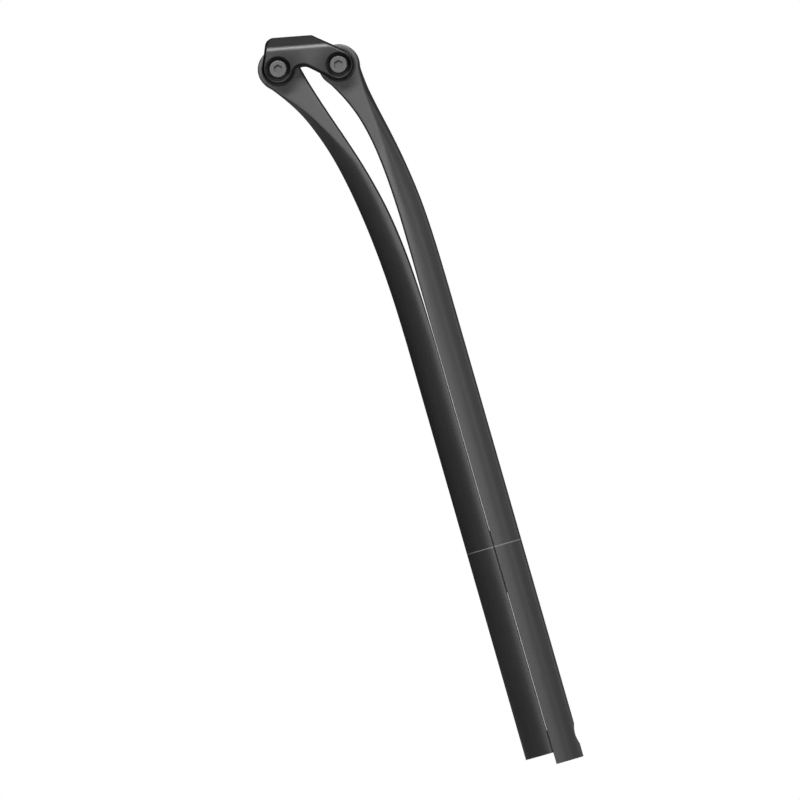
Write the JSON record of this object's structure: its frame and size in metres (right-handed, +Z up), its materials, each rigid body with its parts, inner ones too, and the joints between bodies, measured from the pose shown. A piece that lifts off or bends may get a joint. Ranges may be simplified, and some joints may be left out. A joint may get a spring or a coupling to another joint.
{
  "type": "suspension seatpost",
  "caption": "Bicycle seatpost made of two half-round carbon leaf springs that part above the frame and carry a side-clamping saddle rail head on two pivots.",
  "frame": {"origin": "on the post's axis at the minimum insertion line", "axes": "+Z up the post's axis, +X to the front of the bicycle, +Y to its left"},
  "size_m": [0.06, 0.0605, 0.3734],
  "materials": {
    "leaf_carbon": "satin clear coat over carbon fibre",
    "clamp_alloy": "black anodised, bead blasted",
    "insert_alloy": "machined",
    "sleeve_alloy": "hard anodised",
    "bolt_steel": "grey coated, satin",
    "washer_steel": "zinc plated",
    "nut_steel": "black zinc plated",
    "bushing_polymer": "self-lubricating polymer",
    "seal_rubber": "matt",
    "pad_polymer": "matt"
  },
  "bodies": {
    "rear_leaf": {"rear_leaf": "leaf_carbon", "rear_foot_insert": "insert_alloy", "upper_spacer_pad": "pad_polymer", "lower_slide_pad": "pad_polymer"},
    "front_leaf": {"front_leaf": "leaf_carbon", "front_foot_insert": "insert_alloy", "lock_washer": "washer_steel", "nut_plate": "nut_steel"},
    "lock_screw": {"lock_screw": "bolt_steel"},
    "rear_tip": {"rear_eye_sleeve": "sleeve_alloy", "rear_bushings": "bushing_polymer", "rear_seal_rings": "seal_rubber"},
    "front_tip": {"front_eye_sleeve": "sleeve_alloy", "front_bushings": "bushing_polymer", "front_seal_rings": "seal_rubber"},
    "rear_pivot": {"rear_pivot_sleeve": "sleeve_alloy"},
    "head": {"inner_clamp_right": "clamp_alloy", "inner_clamp_left": "clamp_alloy", "front_pivot_sleeve": "sleeve_alloy"},
    "right_clamp": {"outer_clamp_right": "clamp_alloy", "head_washers": "washer_steel"},
    "left_clamp": {"outer_clamp_left": "clamp_alloy", "rear_clamp_nut": "nut_steel", "front_clamp_nut": "nut_steel"},
    "rear_bolt": {"rear_clamp_bolt": "bolt_steel"},
    "front_bolt": {"front_clamp_bolt": "bolt_steel"}
  },
  "joints": [
    {"name": "suspension_flex", "type": "hinge", "parent": "rear_leaf", "child": "rear_tip", "pos_m": [-0.0069, 0, 0.037], "axis": [0, -1, 0], "range_deg": [0, 5.3], "stiffness_Nm_per_rad": 900, "deforming": ["rear_leaf"]},
    {"name": "front_leaf_flex", "type": "hinge", "parent": "front_leaf", "child": "front_tip", "pos_m": [0.0069, 0, 0.037], "axis": [0, -1, 0], "range_deg": [0, 5.4], "deforming": ["front_leaf"]},
    {"name": "rear_pivot_turn", "type": "hinge", "parent": "rear_tip", "child": "rear_pivot", "pos_m": [-0.0364, 0, 0.2494], "axis": [0, -1, 0], "range_deg": [-2.7, 0]},
    {"name": "tilt_shift", "type": "slide", "parent": "rear_leaf", "child": "front_leaf", "axis": [0, 0, 1], "range_m": [-0.002, 0.002]},
    {"name": "head_tilt", "type": "hinge", "parent": "rear_pivot", "child": "head", "pos_m": [-0.0364, 0, 0.2494], "axis": [0, -1, 0], "range_deg": [-4.1, 4.1]},
    {"name": "right_clamp_open", "type": "slide", "parent": "head", "child": "right_clamp", "axis": [0, -1, 0], "range_m": [0, 0.003]},
    {"name": "left_clamp_open", "type": "slide", "parent": "head", "child": "left_clamp", "axis": [0, 1, 0], "range_m": [0, 0.003]},
    {"name": "rear_bolt_turn", "type": "hinge", "parent": "right_clamp", "child": "rear_bolt", "pos_m": [-0.0364, 0, 0.2494], "axis": [0, -1, 0], "continuous": true},
    {"name": "front_bolt_turn", "type": "hinge", "parent": "right_clamp", "child": "front_bolt", "pos_m": [-0.0078, 0, 0.2435], "axis": [0, -1, 0], "continuous": true},
    {"name": "lock_screw_out", "type": "slide", "parent": "front_leaf", "child": "lock_screw", "axis": [1, 0, 0], "range_m": [0, 0.002]}
  ],
  "couplings": [
    {"joint": "front_leaf_flex", "follows": "suspension_flex", "ratio": 1.0127},
    {"joint": "rear_pivot_turn", "follows": "suspension_flex", "ratio": -0.49065},
    {"joint": "head_tilt", "follows": "tilt_shift", "rad_per_m": 34.965}
  ]
}
